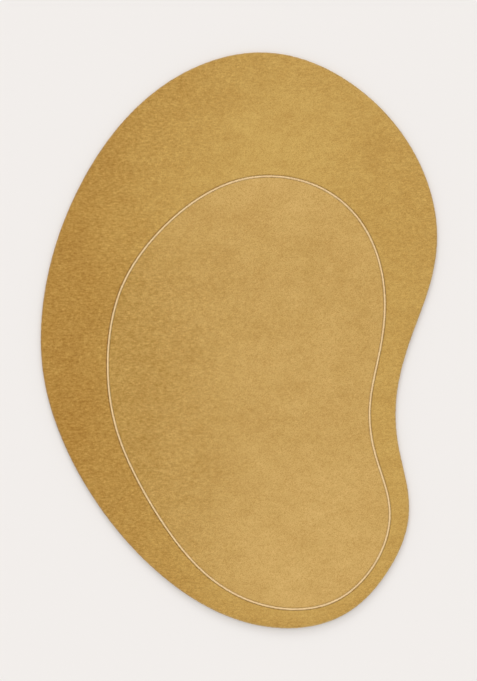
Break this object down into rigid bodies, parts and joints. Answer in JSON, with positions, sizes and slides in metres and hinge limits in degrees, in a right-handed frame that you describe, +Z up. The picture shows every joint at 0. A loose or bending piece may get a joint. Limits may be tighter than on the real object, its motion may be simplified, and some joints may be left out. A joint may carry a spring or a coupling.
{
  "type": "wool rug",
  "caption": "Wool rug in the outline of a smooth pebble with a waist, with an even mustard cut pile and a thin cream line inlaid in a carved channel.",
  "frame": {"origin": "on the floor under the middle of the rug's bounding box", "axes": "+X across the rug towards its waisted side, +Y along its length towards its broad end, +Z up, out of the pile"},
  "size_m": [1.5802, 2.2966, 0.013],
  "materials": {
    "ochre_wool": "dense cut wool pile in mustard ochre, matt with a soft nap sheen and a fine grain",
    "cream_wool": "cut wool pile in warm cream, matt, one narrow row clipped just under the field"
  },
  "bodies": {
    "root": {"pile_cloth": "ochre_wool", "inlaid_line": "cream_wool"}
  },
  "joints": []
}
